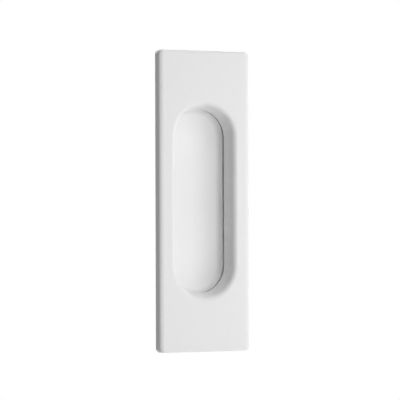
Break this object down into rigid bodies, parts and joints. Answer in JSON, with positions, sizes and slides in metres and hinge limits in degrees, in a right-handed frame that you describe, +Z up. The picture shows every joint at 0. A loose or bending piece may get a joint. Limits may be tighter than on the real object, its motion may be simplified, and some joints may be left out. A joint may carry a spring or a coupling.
{
  "type": "sliding door flush pull",
  "caption": "Rectangular flush pull for a sliding door: clip-on cover plate with an oval finger recess over a cup held by hidden screws.",
  "frame": {"origin": "centre of the cup's rear flange face, on the surface of the door behind the middle of the plate", "axes": "+X across the plate, +Y into the door, +Z up along the plate's length; the plate's front face looks along -Y"},
  "size_m": [0.04, 0.0177, 0.12],
  "materials": {
    "cover_lacquer": "satin white powder coat on a zinc die casting",
    "cup_plastic": "white moulded plastic with a fine satin surface",
    "screw_steel": "bright zinc plating"
  },
  "bodies": {
    "root": {"front_cover": "cover_lacquer", "cup_base": "cup_plastic", "upper_screw": "screw_steel", "lower_screw": "screw_steel"}
  },
  "joints": []
}
